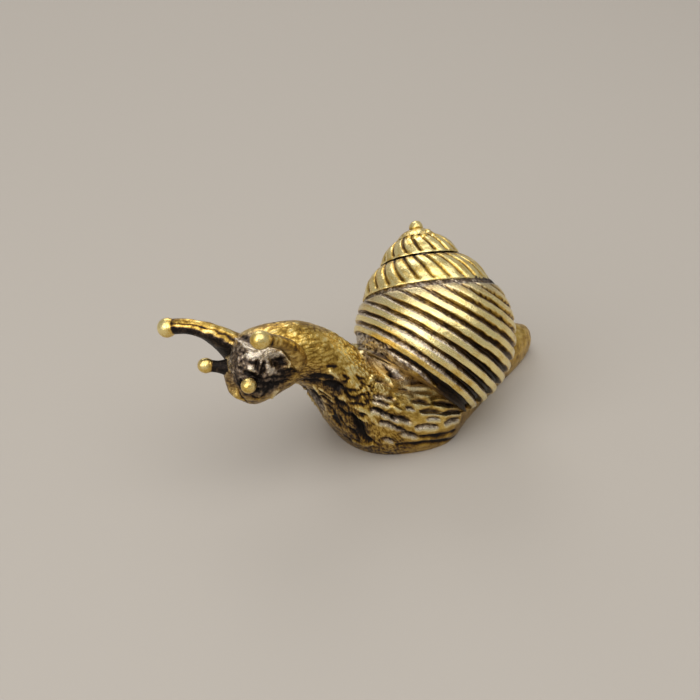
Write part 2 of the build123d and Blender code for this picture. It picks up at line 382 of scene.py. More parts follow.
body_brass, shell_brass, stalk_brass = [antiqued_brass(part + " brass", polish)
                                        for part, polish in POLISH.items()]
print("finishes", [material.name for material in (body_brass, shell_brass, stalk_brass)])

# %% [markdown]
# ## The shell: where the whorls run
# A snail's shell winds round an axis, and its seam widens and drops with every turn. Both
# growths are powers of the number of turns, so one formula places the whole seam. The last
# whorl is nearly a ball, whose ribs are rings stacked along a line that leans to the tail.

# %% The seam
BALL = np.array([2.2, -1.6, 9.0])
BALL_RADIUS = 8.2
POLE = direction(42.6, 8.4)
MOUTH_REACH = 5.1  # from the middle of the ball back along the pole
APEX_HEIGHT = 3.56  # above the ball
APEX = BALL + direction(48.96, 63.9) * (BALL_RADIUS + APEX_HEIGHT)
SPIRE_AXIS = direction(49.84, 51.72)
TURNS = 3
SEAM_RADIUS = 5.93
SPIRE_DROP = 6.22
RADIUS_POWER = 1.265
DROP_POWER = 1.656
LEAN = 0.204  # how far the axis shifts sideways, as a share of the drop
SEAM_START = -40.4  # degrees from +X at which the spiral starts
SEAM_PASSES = 0.78  # of a turn, after which the seam one turn higher is the nearer one
CROWN_SINK = 0.5  # how far the first whorl is flattened under the bead of the apex

start_level = direction(0, SEAM_START)
START = start_level - SPIRE_AXIS * (start_level @ SPIRE_AXIS)
START /= np.linalg.norm(START)
SIDE = np.cross(SPIRE_AXIS, START)


def round_axis(turn):
    angle = 2 * math.pi * turn
    return START * math.cos(angle) - SIDE * math.sin(angle)


def seam_point(turn):
    """Point on the seam, some turns down from the apex."""
    share = max(turn, 0) / TURNS
    drop = SPIRE_DROP * share**DROP_POWER
    sink = CROWN_SINK * ease(1.0, 0.2, turn)
    return (APEX - SPIRE_AXIS * (drop + sink) + START * (LEAN * drop)
            + round_axis(turn) * (SEAM_RADIUS * share**RADIUS_POWER))


def below_seam(points):
    """Millimetres below the last seam along the axis, and the turn of each point."""
    offset = points - APEX
    drop = -(offset @ SPIRE_AXIS)
    spoke = offset + np.outer(drop, SPIRE_AXIS - LEAN * START)
    turn = np.arctan2(-(spoke @ SIDE), spoke @ START) / (2 * math.pi) % 1
    seam_turn = np.where(turn < SEAM_PASSES, TURNS + turn, TURNS - 1 + turn)
    return drop - SPIRE_DROP * (seam_turn / TURNS)**DROP_POWER, turn


print("seam after three turns", np.round(seam_point(3), 1))

# %% [markdown]
# ## The shell: the last whorl
# The ball starts as a sphere whose poles lie on the stacking line, so its rings of faces run
# along the ribs and a groove stays crisp with few faces. The part beyond the mouth is cut off
# with bisect_plane. Then every vertex sinks by what its ring says. A rib has a flat, polished
# top, a steep lower side with a line of painted shadow under it, and a gentle upper side that
# was never rubbed. To the right the grooves open into wide furrows filled with painted shadow,
# and at the seam they start as points. Beyond the last groove lies grey, rough skin, the
# mantle, and out of it comes the last rib as a smooth tongue, which narrows to the right and
# sinks into the painted shadow of the furrow there.

# %% Last whorl
RING_STEP = 8.45  # degrees from groove to groove
FIRST_GROOVE = 11.4  # degrees from the pole
RING_PLACES = (62.0, 121.0)  # degrees from the pole at which the swing of a ring is given
RING_LEANS = (-3.0, 5.0)  # degrees that a ring swings at these two places
LEAN_LIMITS = (-0.6, 1.2)  # shares of the way between them, beyond which it stays the same
GROOVE_DEPTH = 0.62
LAST_GROOVE = 13
BALL_GRID = {"u_segments": 260, "v_segments": 330}  # round the pole and from pole to pole

east = forward - POLE * (forward @ POLE)
east /= -np.linalg.norm(east)
north = np.cross(POLE, east)

bm = bmesh.new()
pole_frame = Matrix([[*row, place] for row, place in zip(np.array([east, north, POLE]).T, BALL)]
                    + [[0, 0, 0, 1]])
bmesh.ops.create_uvsphere(bm, **BALL_GRID, radius=BALL_RADIUS, matrix=pole_frame)
mouth = BALL - POLE * MOUTH_REACH
cut_off(bm, mouth, -POLE)
ball = Sculpture(bm)
points = ball.points
spokes = (points - BALL) / np.linalg.norm(points - BALL, axis=1)[:, None]
print("last whorl", len(points), "vertices, mouth", np.round(mouth, 1))

# %% Where each point lies among the ribs
polar = np.degrees(np.arccos(np.clip(spokes @ POLE, -1, 1)))
turn = np.degrees(np.arctan2(spokes @ north, spokes @ east))  # 0 faces the camera
swing = np.sin(np.radians(turn))
share = (polar - RING_PLACES[0]) / (RING_PLACES[1] - RING_PLACES[0])
lean = RING_LEANS[0] + (RING_LEANS[1] - RING_LEANS[0]) * np.clip(share, *LEAN_LIMITS)
phase = (polar - lean * swing * np.sin(np.radians(polar)) - FIRST_GROOVE) / RING_STEP
phase += 0.06 * rough(points, 2.5) + 0.03 * rough(points, 0.8, 3.0)
across = phase - np.floor(phase)  # 0 at the groove above a rib, 1 at the groove below it
below, seam_turn = below_seam(points)
shows = np.maximum(ease(0.66, 0.56, seam_turn), ease(0.86, 0.92, seam_turn))  # seam in view
near_seam = ease(2.0, 0.3, below) * shows
furrow = ease(-0.05, 0.75, swing) * ease(60, 105, polar)  # 1 at the lower right
print("grooves counted from the pole", int(phase.max()))

# %% Profile of a rib, in shares of its width
SLOPE_END = 0.45  # where the gentle upper side ends
FOOT, FURROW_FOOT = 0.03, 0.16  # flat floor of a groove, and what a furrow adds to it
STEEP, FURROW_STEEP = 0.12, 0.06  # width of the lower side, and what a furrow adds to it

narrow = 1 - 0.5 * near_seam
slope_end = (SLOPE_END + 0.04 * rough(points, 1.3, 7.0)) * narrow
foot = (FOOT + FURROW_FOOT * furrow) * narrow
rise = 0.5 * ease(foot, foot + 0.1, across) + 0.5 * ease(foot + 0.04, slope_end, across)
fall = ease(0.98, 1 - (STEEP + FURROW_STEEP * furrow) * narrow, across)
proud = rise * fall
# Painted shadow: black along each groove, under the steep lower side of the rib above, and wide
# in the furrows at the lower right.
painted_groove_shadow = np.maximum(ease(0.07 + 0.26 * furrow, 0.22 * furrow - 0.01, across / narrow),
                   ease(0.13 + 0.04 * furrow, 0.08 + 0.04 * furrow, (1 - across) / narrow))
painted_groove_shadow *= 0.8 + 0.2 * furrow
unrubbed = ease(slope_end + 0.02, slope_end - 0.08, across) * (1 - painted_groove_shadow)
up_slope = ease(foot + 0.06, slope_end, across)
print("rubbed tops take up", (proud > 0.5).mean().round(2), "of the ball")

# %% The tongue and the mantle, beyond the last groove
TONGUE_START = -33.0  # degrees round the pole, where the mantle ends
TONGUE_POINT = 27.0  # degrees round the pole, where the tongue has narrowed
TONGUE_EDGE = 0.2  # of a rib, how far its upper edge lies below the last groove
TONGUE_NARROWS = 0.44  # of a rib, how much lower that edge lies at the point
FURROW_END = 115.0  # degrees round the pole

beyond = phase - LAST_GROOVE
past_last = ease(-0.02, 0.0, beyond)
in_front = window(TONGUE_START, FURROW_END, turn, 8.0)
mantle = past_last * (1 - in_front)
edge = TONGUE_EDGE + TONGUE_NARROWS * ease(0.0, TONGUE_POINT, turn)
tongue = in_front * ease(edge, edge + 0.2, beyond)
proud = proud * (1 - past_last) + past_last * (tongue + 0.4 * mantle)
# Painted shadow in the groove above the tongue.
painted_groove_shadow = painted_groove_shadow * (1 - past_last) + past_last * in_front * ease(edge + 0.16, edge + 0.04, beyond)
ridge = past_last * in_front * window(edge, edge + 0.4, beyond, 0.1) * ease(20, 8, turn)
mottled = past_last * in_front * ease(edge + 0.28, edge + 0.4, beyond) * ease(0, -15, turn)
unrubbed = unrubbed * (1 - past_last) + ridge + mantle + 0.7 * mottled
print("points beyond the last groove", int(past_last.sum()))

# %% Relief of the last whorl
SUTURE_DEPTH = 0.24  # of the channel along the seam
SUTURE_RAGGED = 0.12

streaks = np.array([noise.noise(Vector((p * 8, t / 14, 0))) for p, t in zip(phase, turn)])
depth = GROOVE_DEPTH * (0.85 + 0.3 * furrow) * (1 - 0.5 * near_seam)
sink = (1 - proud) * depth + 0.05 * proud * (2 * across - 1.2)**2
sink += 0.012 * streaks * proud + 0.012 * rough(points, 0.5, 9.0)
sink += (0.035 * unrubbed + 0.05 * mantle) * rough(points, 0.28, 2.0)
suture = ease(0.5, 0.2, below) * shows
sink = sink * (1 - suture) + suture * (SUTURE_DEPTH + SUTURE_RAGGED * rough(points, 0.3, 5.0))
sink[(points - mouth) @ POLE < 0.02] = 0  # the cut at the mouth stays flat
move_to(bm, points - spokes * sink[:, None])
print("ribs of the last whorl are", round(math.radians(RING_STEP) * BALL_RADIUS, 2), "mm apart")

# %% Marks of the last whorl
# Painted shade: the lower front of the ball is darker, on the side turned down from the
# overhead light.
painted_lower_shade = ease(104, 118, polar) * window(-40.0, 45.0, turn, 20.0)
lower_rows_highlight = ease(80, 112, polar)
specks = rough(points, 0.25, 2.0)
hollow = 0.08 + 0.16 * streaks + 0.1 * rough(points, 1.5, 11.0) + 0.1 * near_seam
hollow += 0.2 * painted_lower_shade + past_last * (0.3 * tongue + 0.14 * mantle + 0.4 * mantle * specks)
# Unrubbed slopes get grey patina and specks. They turn paler as they rise to the rib's top
# edge, most on the lower rows: painted highlight.
hollow += unrubbed * (0.38 - (0.22 + 0.22 * lower_rows_highlight) * up_slope + 0.5 * specks) - 0.2 * ridge
# The painted shadow of the grooves darkens the finish here.
hollow = np.maximum(hollow, painted_groove_shadow)
# Painted shadow under the lip of the spire, deeper to the right.
painted_lip_shadow = ease(0.26, 0.1, below) * shows * (0.25 + 0.4 * ease(-0.2, 0.8, swing))
hollow = np.maximum(hollow, suture * (0.32 + 0.6 * rough(points, 0.25, 5.0)) + painted_lip_shadow)
ball_hollow = np.clip(hollow, 0, 1)
ball_patina = np.clip(np.maximum(unrubbed, suture) + 0.5 * near_seam, 0, 1)
ball_bm = bm
print("mean hollow of the ball", ball_hollow.mean().round(2))

# %% [markdown]
# ## The shell: the spire
# The spire grows like a real shell: one line of growth, from the seam above to the seam below,
# is carried round the axis while it widens and drops. A grid does this in one go, with its
# columns along the spiral and its rows down the whorl. Its last rows return inside, so that
# the whorl is a closed tube. Narrow, slanting grooves part flat ribs, which end in scallops at
# the lower edge, and the first whorl is flattened so that the bead of the apex stands out.

# %% Spire
COARSE_RIBS = 52 / 3  # in a turn, over the first two turns
FINE_RIBS = 26  # in the third turn
COARSE_TURNS = 2
STEPS = 210  # columns in one turn
ROWS = 34
OUTSIDE = 0.82  # share of the rows that lie on the outside
SLANT = 3 / 52  # of a turn that a rib trails from seam to seam
BULGE = 0.13  # of the width of a whorl
RIB_DEPTH = 0.06  # of the width of a whorl, as are the next two
SCALLOP_REACH = 0.012
SCALLOP_DEPTH = 0.01
RUN_OUT = 0.5  # turns over which the spire sinks into the ball at the back
BURY = 0.6  # mm that it lies below the ball in the end


def rib_phase(turn):
    """Number of grooves from the apex to a turn; the last coarse rib is a narrow one."""
    whole = int(COARSE_RIBS * COARSE_TURNS)
    last = whole / COARSE_RIBS
    if turn > COARSE_TURNS:
        return whole + 1 + (turn - COARSE_TURNS) * FINE_RIBS
    if turn > last:
        return whole + (turn - last) / (COARSE_TURNS - last)
    return turn * COARSE_RIBS


def rib_marks(turn, down):
    """Depth of the groove, 0 to 1, wear of the rib, -1 to 1, and number of grooves so far."""
    phase = rib_phase(max(turn, 0)) + 0.05 * noise.noise(Vector((turn * 30, down * 3, 0)))
    off_groove = abs(phase - round(phase))
    fade = ease(0.02, 0.1, down) * ease(0.96, 0.84, down) * ease(0.7, 1.2, turn)
    worn = noise.noise(Vector((phase * 5, down * 2.5, 3.0)))
    return ease(0.2, 0.04, off_groove) * fade, worn, phase


def spire_shares(along, across):
    """Turn, share down the outside and share of the way back inside."""
    inside = max(across - OUTSIDE, 0) / (1 - OUTSIDE)
    return TURNS * along, min(across / OUTSIDE, 1) * (1 - inside), inside


def spire_place(along, across):
    turn, down, inside = spire_shares(along, across)
    here = turn - SLANT * down
    upper, lower = seam_point(here), seam_point(here + 1)
    chord = lower - upper
    width = np.linalg.norm(chord)
    square = np.cross(chord, np.cross(SPIRE_AXIS, round_axis(here)))
    square *= math.copysign(1, square @ round_axis(here)) / max(np.linalg.norm(square), 1e-6)
    groove, worn, phase = rib_marks(turn, down)
    scallop = math.cos(2 * math.pi * phase) * ease(0.78, 0.95, down)
    swell = BULGE * 4 * down * (1 - down) - 0.03 * ease(0.08, 0.0, down)
    swell += (0.015 * ease(0.8, 0.95, down) - SCALLOP_DEPTH * scallop + 0.004 * worn
              - RIB_DEPTH * groove)
    tucked = 0.3 * math.sin(math.pi * inside) + 0.02 * ease(0, 0.2, inside)
    point = upper + chord * (down - SCALLOP_REACH * scallop)
    point = point + square * (width * (swell * (1 - inside) - tucked))
    point = point + square * (0.03 * noise.noise(Vector(point) / 0.4) * (1 - inside))
    buried = BALL + (point - BALL) * ((BALL_RADIUS - BURY) / np.linalg.norm(point - BALL))
    bury = max(0, turn - TURNS + RUN_OUT) / RUN_OUT * math.sin(math.pi / 2 * down)
    return point * (1 - bury) + buried * bury


def spire_hollow_at(along, across):
    turn, down, inside = spire_shares(along, across)
    groove, worn, phase = rib_marks(turn, down)
    early = ease(1.2, 0.5, turn)
    seam = 0.75 * ease(0.085, 0.02, down) + ease(0.0, 0.3, inside)
    smoky = 0.25 * ease(0.3, 0.08, down) + 0.4 * early * abs(worn)
    return min(1, 0.12 + 0.7 * groove + 0.3 * worn + seam + smoky)


spire_bm = bmesh.new()
bmesh.ops.create_grid(spire_bm, x_segments=TURNS * STEPS, y_segments=ROWS, size=0.5)
shares = places(spire_bm) + 0.5
spire_hollow = np.clip([spire_hollow_at(u, v) for u, v, _ in shares], 0, 1)
spire_patina = 0.8 * ease(0.14 * OUTSIDE, 0.04 * OUTSIDE, shares[:, 1])
move_to(spire_bm, [spire_place(u, v) for u, v, _ in shares])
print("spire", len(spire_bm.verts), "vertices")

# %% [markdown]
# ## The shell: one piece
# Ball, spire, the bead on the apex and the little lumps of its collar are joined into one mesh,
# as they are one casting. The marks are written into layers of each bmesh first, because
# welding and joining keep them.

# %% Join the shell
BEAD_RADIUS = 0.74
BEAD_DROP = 0.45  # from the apex down the axis
BEAD_DENTS = 0.05
BEAD_GRID = (40, 26)  # faces around it and down it
LUMPS = (  # of the collar under the bead: x and y in pixels, radius in mm
    (427.5, 230.8, 0.4),
    (433, 234.2, 0.34),
    (423.5, 234.6, 0.42),
    (416, 236, 0.42),
    (408.5, 236.6, 0.38),
)
LUMP_GRID = (20, 14)


def with_marks(bm, hollow, patina):
    """A mesh of this bmesh that carries its marks."""
    for name, data in (("hollow", hollow), ("patina", patina)):
        layer = bm.verts.layers.float.new(name)
        for vert, value in zip(bm.verts, data):
            vert[layer] = float(value)
    mesh = bpy.data.meshes.new("part of the shell")
    bm.to_mesh(mesh)
    bm.free()
    return mesh


bead_bm = bmesh.new()
bead_middle = APEX - SPIRE_AXIS * BEAD_DROP
add_ball(bead_bm, bead_middle, BEAD_RADIUS, *BEAD_GRID)
points = places(bead_bm)
move_to(bead_bm, points + normals(bead_bm) * BEAD_DENTS * rough(points, 0.45)[:, None])
bead_hollow = 0.12 + 0.6 * ease(0.1, -0.35, (points - bead_middle) @ SPIRE_AXIS)
collar_bm = bmesh.new()
crown = Sculpture(spire_bm)
for x, y, radius in LUMPS:
    middle = crown.seen(x, y) - Vector(SPIRE_AXIS) * (radius / 2)
    add_ball(collar_bm, middle, radius, *LUMP_GRID)
collar_hollow = 0.3 + 0.4 * rough(places(collar_bm), 0.3)
parts = [with_marks(ball_bm, ball_hollow, ball_patina),
         with_marks(spire_bm, spire_hollow, spire_patina),
         with_marks(bead_bm, bead_hollow, 0 * bead_hollow),
         with_marks(collar_bm, collar_hollow, 0 * collar_hollow)]
bm = bmesh.new()
for part in parts:
    bm.from_mesh(part)
    bpy.data.meshes.remove(part)
bmesh.ops.remove_doubles(bm, verts=bm.verts, dist=WELD_GAP)
close_up(bm)
finished(bm, "shell", shell_brass, "shell_casting", "shell_brass")

# %% [markdown]
# ## The body: a row of ovals
# Tail, foot, neck and head are one soft form. It is laid out as ovals along a bent line, each
# with its middle, half width, half height, tilt and turn, and a grid is rolled through them on
# smooth curves. The sole is then cut flat.

# %% Ovals of the body
OVALS = (  # x, y, z, half width and half height in mm, tilt and turn in degrees
    (19.5, 0.27, 1.2, 0.05, 0.08, 0, 180),
    (19.24, 0.26, 1.2, 0.44, 0.66, 0, 180),
    (18.16, 0.13, 1.32, 1.31, 1.92, 0, 180),
    (15.52, -0.06, 1.32, 2.13, 2.88, 0, 180),
    (10.0, -0.13, 1.32, 3.72, 3.3, 0, 180),
    (4.0, -0.16, 1.44, 5.62, 4.02, 0, 180),
    (-1.0, -0.16, 2.16, 7.37, 5.64, 0, 180),
    (-6.2, 0.1, 3.9, 6.38, 5.4, 6, 177),
    (-8.6, 0.19, 6.72, 4.75, 4.44, 18, 172),
    (-10.92, 0.61, 10.2, 3.39, 3.3, 24, 166),
    (-13.0, 1.34, 12.0, 2.89, 2.94, 15, 165),
    (-15.24, 2.11, 12.0, 3.12, 3.3, -6, 165),
    (-17.28, 2.66, 11.46, 3.18, 3.48, -16, 165),
    (-18.84, 2.98, 10.54, 2.38, 2.95, -20, 165),
    (-19.84, 3.1, 9.9, 0.99, 1.5, -24, 165),
    (-20.15, 3.15, 9.75, 0.05, 0.05, -24, 165),
)
BODY_GRID = (330, 250)  # faces from tail to head and around


def smooth_row(table, share):
    """Values of a table at a share of its length, on a curve through its rows."""
    spot = share * (len(table) - 1)
    index = min(int(spot), len(table) - 2)
    part = spot - index
    indices = np.clip(range(index - 1, index + 3), 0, len(table) - 1)
    before, start, end, after = [np.array(table[i]) for i in indices]
    return 0.5 * (2 * start + (end - before) * part
                  + (2 * before - 5 * start + 4 * end - after) * part**2
                  + (3 * start - before - 3 * end + after) * part**3)


def body_place(along, around):
    x, y, z, half_width, half_height, tilt, turn = smooth_row(OVALS, along)
    heading = direction(tilt, turn)
    across = np.array([0.0, 1.0, 0.0]) - heading * heading[1]
    across /= np.linalg.norm(across)
    over = np.cross(heading, across)
    angle = 2 * math.pi * around
    return (np.array([x, y, z]) + across * (half_width * math.cos(angle))
            + over * (half_height * math.sin(angle)))


bm = rolled_grid(*BODY_GRID, body_place)
cut_off(bm, (0, 0, 0), (0, 0, -1))
snail = Sculpture(bm)
print("body", len(bm.verts), "vertices")

# %% [markdown]
# ## The flanks
# The flanks are set with short leaf-shaped dimples in slanting rows. Each has a dark upper
# edge, a grey floor and a soft bright lip below, so one dimple is three strokes side by side.
# They are repeated on the far side, mirrored over the middle of the foot.

# %% Dimples of the flank
DIMPLES = (  # x and y at both ends in pixels, half width and depth in mm
    (388, 374.5, 399.5, 379, 0.22, 0.26), (376.5, 379, 391, 383.5, 0.24, 0.28),
    (410.5, 384, 431, 385, 0.22, 0.30), (437, 391, 450, 392, 0.18, 0.20),
    (413.5, 400.5, 429, 402.5, 0.19, 0.32), (434.5, 402, 453, 404.5, 0.2, 0.32),
    (374.5, 395.8, 394.5, 398, 0.26, 0.32), (373.5, 400.8, 389.5, 404.6, 0.24, 0.26),
    (421, 411, 442, 412, 0.22, 0.36), (444, 413, 461, 411.5, 0.19, 0.30),
    (371, 409.5, 384, 412.5, 0.26, 0.34), (382, 413.5, 397, 420, 0.24, 0.28),
    (393, 416.5, 411, 422, 0.28, 0.32), (416, 427.5, 438, 426, 0.26, 0.32),
    (445, 423.5, 459, 418.5, 0.24, 0.30), (379.5, 421.9, 396, 427, 0.24, 0.28),
    (401, 433, 417, 436.5, 0.24, 0.28), (383.5, 439, 393, 441.5, 0.2, 0.24),
    (396, 428.5, 406, 431, 0.18, 0.14), (399, 389, 409, 391, 0.18, 0.12),
    (406, 408, 414, 409, 0.16, 0.12), (427, 418.5, 440, 418, 0.18, 0.14),
)
BOW = 1.3  # pixels that a dimple's middle lies above its ends
MIDDLE = -0.1  # mm, the middle of the foot
UPPER_EDGE = (0, 0.65, 1.0, 1.25)  # pixels below, shares of width and depth, and stain
GREY_FLOOR = (1.7, 1.0, 0.45, -0.4)
BRIGHT_LIP = (3.6, 0.9, -0.25, 0.7)
DIMPLE = (UPPER_EDGE, GREY_FLOOR, BRIGHT_LIP)

for x0, y0, x1, y1, half_width, depth in DIMPLES:
    pixels = [(x0, y0), ((x0 + x1) / 2, (y0 + y1) / 2 - BOW), (x1, y1)]
    near = [snail.traced([(x, y + step) for x, y in pixels]) for step, *_ in DIMPLE]
    far = [snail.mirrored(line, MIDDLE) for line in near]
    for lines in (near, far):
        for line, (_, width, share, stain) in zip(lines, DIMPLE):
            snail.press(line, half_width * width, depth * share, stain)
        snail.patina += snail.stroke(lines[1], half_width)
print("dimples", len(DIMPLES))

# %% [markdown]
# ## The chest
# Where the neck comes out of the foot the skin is gathered into folds: long dark ones that
# turn round smooth gold islands, and fine parallel ones in front. A few thin ridges lead up to
# the mouth of the shell like flames. Each is one stroke, repeated on the far side.

# %% Folds of the flank and the chest
FOLDS = (  # pixels, half width and depth in mm
    (((418, 437), (436, 436), (455, 430)), 0.2, 0.26),
    (((396, 445), (425, 442.5), (444, 440.5), (456, 435)), 0.2, 0.22),
    (((327, 366.5), (337, 366)), 0.12, 0.1),
    (((310, 376), (320, 375.5), (333, 378)), 0.2, 0.2),
    (((303, 380.5), (311, 380.5), (320, 381)), 0.2, 0.2),
    (((325, 383), (333, 384.5), (342, 387)), 0.34, 0.4),
    (((336, 390), (342, 388)), 0.2, 0.2),
    (((344.5, 391), (349.7, 398.3), (357.4, 399), (361, 396.4), (372, 394.5)), 0.17, 0.3),
    (((335.7, 397.6), (338.3, 404), (346, 404.6)), 0.2, 0.32),
    (((340.8, 408.5), (344.6, 414), (352.3, 415.5)), 0.17, 0.24),
    (((352.3, 415.5), (357.4, 423.8), (361.2, 432), (364.4, 437.8), (373.3, 443.5)),
     0.34, 0.42),
    (((356, 419), (360, 426), (361, 431)), 0.3, 0.2),
    (((347.2, 427.6), (353.6, 431.4), (358.7, 439)), 0.16, 0.22),
    (((338.3, 414.8), (343.4, 423.8)), 0.13, 0.18),
    (((333.2, 410.4), (338.3, 421.2)), 0.13, 0.18),
    (((355.5, 440), (360, 441.5)), 0.14, 0.16),
    (((359.3, 413), (367, 414.8)), 0.15, 0.16),
    (((365.7, 401.5), (369.5, 403.4)), 0.15, 0.16),
    (((343.4, 375.3), (349.7, 378.5), (347.2, 382.3), (343.4, 381.7)), 0.14, 0.26),
    (((357.4, 375.3), (362.5, 379), (363.8, 384.2), (361.2, 388.7)), 0.22, 0.22),
    (((344.6, 388.7), (348.5, 390), (357.4, 391), (361.2, 390)), 0.13, 0.22),
    (((368.9, 385.5), (374, 387.4), (372.7, 391.3)), 0.14, 0.22),
    (((319, 390.6), (330.6, 398.3)), 0.13, 0.16),
    (((321, 394.5), (333, 404)), 0.13, 0.16),
    (((323, 400), (334, 411)), 0.13, 0.16),
    (((350, 404.5), (358, 404), (366, 405.5)), 0.14, 0.16),
    (((344, 435), (352, 441)), 0.13, 0.12),
    (((311.5, 390.6), (316, 394), (321, 398)), 0.28, 0.2),
    (((310.5, 401), (316.5, 409)), 0.26, 0.2),
    (((329.3, 370.8), (338.3, 377.9)), 0.14, -0.2),
    (((355.5, 407.2), (366.3, 412.3), (378.4, 425)), 0.22, -0.2),
    (((357.4, 417.4), (367.6, 421.2)), 0.16, -0.12),
    (((393, 407.2), (401, 411)), 0.2, -0.16),
    (((352.3, 439.7), (363.8, 444.8), (374.6, 444.2)), 0.16, -0.16),
    (((372.7, 363.2), (382.9, 372.8), (391.2, 381)), 0.16, -0.12),
    (((376, 363), (388, 369), (399, 376)), 0.13, -0.14),
    (((379, 359), (392, 365), (402, 371)), 0.13, -0.14),
    (((381, 366), (390, 373), (396, 380)), 0.11, 0.14),
    (((370.2, 381), (375.9, 375.3)), 0.2, -0.1),
    (((386, 364), (397, 373)), 0.22, -0.18),
    (((319, 388), (332.5, 398.3)), 0.13, -0.14),
    (((321, 392.5), (334.4, 402)), 0.13, -0.14),
    (((313.7, 385.5), (325.5, 400.8), (327, 411)), 0.16, -0.24),
    (((310.8, 398.3), (320.4, 409.7)), 0.14, -0.16),
    (((338, 398), (345, 398), (346, 401)), 0.3, -0.16),
    (((407, 387.3), (424, 389)), 0.2, -0.16),
    (((417, 395), (429, 395.3)), 0.18, -0.14),
)
FOLD_STAIN = 1.4

for pixels, half_width, depth in FOLDS:
    line = snail.traced(pixels)
    for side in (line, snail.mirrored(line, MIDDLE)):
        snail.press(side, half_width, depth, FOLD_STAIN)
print("folds", len(FOLDS))

# %% [markdown]
# ## The face
# The face was never rubbed, so it is dark with bright specks. A thin brow runs from the far
# stalk to the near one, a fold like a nose parts a smooth cheek from a round hollow, and the
# chin below is worn to gold. Broad strokes without a stain come last: they draw in the cheek
# and the jaw, and let the skin swell up to the mouth of the shell. Spots of patina turn grey
# what was never rubbed, on the head and here and there on neck, chest and flank. Two raised
# strokes and two spots paint pale reflections on the cheek, and a few spots paint light on skin
# that the mouth of the shell shades. None of it is repeated on the far side.

# %% Strokes and patina of the head
FACE = (  # pixels, half width and depth in mm
    (((236, 339.5), (245.6, 347.3), (256, 351)), 0.16, -0.34),
    (((241, 336), (249, 341)), 0.3, 0.14),
    (((271, 358), (279, 362), (286, 366)), 0.5, 0.4),
    (((274, 364), (284, 359)), 0.45, 0.25),
    (((281, 352.5), (289.6, 360), (288.5, 367.8)), 0.2, -0.28),
    (((261.5, 360.5), (260, 366), (257.8, 373.5)), 0.17, -0.4),
    (((257.6, 359.8), (257, 370.8)), 0.14, 0.3),
    (((264.5, 362), (262, 374), (258, 381)), 0.22, 0.3),
    (((238.5, 357), (239.5, 366)), 0.16, -0.2),
    (((244, 372), (251, 375), (257, 379)), 0.22, 0.22),
    (((278.6, 372.2), (290.4, 370), (298, 372)), 0.22, 0.26),
    (((268, 378), (281, 377), (292, 374)), 0.2, 0.16),
    (((264, 384), (275, 384), (288, 380)), 0.2, 0.18),
    (((279.5, 388.5), (275, 392), (271, 397.5)), 0.16, -0.18),
    (((271, 381), (268, 390), (262, 397)), 0.16, 0.2),
    (((240, 380), (240.5, 388), (246, 393.5), (253, 394), (258, 389)), 0.24, 0.4),
    (((239, 394.2), (246.4, 402)), 0.14, 0.2),
    (((250.8, 396.4), (258.8, 398.6)), 0.14, 0.2),
    (((233, 374), (236, 384), (239, 391)), 0.16, 0.16),
    # These two raised strokes lift the cheek a little and brighten it as painted reflections.
    (((245.6, 354.5), (253, 357), (260.5, 355.5)), 0.3, -0.12),
    (((248.6, 366), (253.7, 371.5)), 0.3, -0.12),
)
FORM = (  # cheek and jaw, and the swelling under the mouth of the shell, in the same units
    (((226, 347), (226, 362), (227, 380), (233, 394)), 1.0, 0.46),
    (((226, 374), (229, 385), (235, 395)), 0.8, 0.24),
    (((361, 353), (374, 361), (389, 368.5), (406, 379), (424, 386), (436, 391)), 0.55, -0.36),
)
SPOTS = (  # x and y in pixels, radius in mm, patina, stain
    (246, 341, 1.2, 0.9, -0.1), (231, 352, 1.4, 1.0, 0.4), (245, 366, 1.7, 1.0, 0.4),
    (253, 362, 0.5, 0.0, 0.8), (262, 370, 1.4, 1.0, 0.15), (278, 361, 0.9, 1.0, -0.45),
    (237, 375, 1.5, 0.9, 0.35), (276, 386, 1.5, 0.4, 0.45), (258, 383, 1.4, 0.8, 0.1),
    (272, 374, 1.4, 0.6, 0.0), (268, 355, 0.7, 1.0, -0.5), (276, 356, 0.5, 1.0, -0.4),
    # The spots at (254, 355.5) and (251, 368.5) brighten the cheek: painted reflections.
    (254, 355.5, 0.5, 1.0, -0.9), (251, 368.5, 0.3, 1.0, -0.8), (242, 400, 0.9, -0.6, -0.2),
    (260, 398, 0.9, -0.5, -0.1), (226, 362, 0.4, 1.0, -0.5), (228, 371, 0.3, 1.0, -0.6),
    (246, 398, 1.1, 0.1, 0.15), (262, 392, 1.1, 0.3, 0.3), (312, 378, 1.3, 0.4, 0.5),
    (335, 385, 1.0, 0.5, 0.6), (314, 396, 1.3, 1.0, 0.3), (320, 406, 0.9, 0.9, 0.2),
    (334, 400, 1.3, 0.2, 0.3), (345, 414, 1.3, 0.2, 0.4), (360, 430, 1.1, 0.3, 0.35),
    (345, 432, 1.2, 0.1, 0.25), (364, 355, 1.0, 1.0, 0.0), (374, 361, 0.9, 0.8, -0.1),
    # The spots at (386, 367), (400, 371) and (380, 373) brighten skin that the mouth of the
    # shell shades: painted light.
    (386, 367, 0.9, 0.9, -0.2), (400, 371, 0.5, 1.0, -0.8), (397, 376, 0.9, 0.8, 0.1),
    (408, 379, 0.8, 0.7, 0.0), (388, 384, 0.8, 0.0, -0.3), (398, 388, 1.2, 0.0, -0.6),
    (384, 391, 0.9, 0.0, -0.5), (380, 373, 0.8, 0.1, -0.5), (450, 396, 1.2, 0.5, 0.3),
    (415, 391, 1.2, 0.4, -0.1), (460, 425, 1.6, 0.1, 0.3), (352, 372, 0.9, -0.2, -0.25),
    (354, 384, 0.8, -0.2, -0.25), (343, 350, 2.0, -0.2, -0.25),
)

FACE_STAIN = 0.9

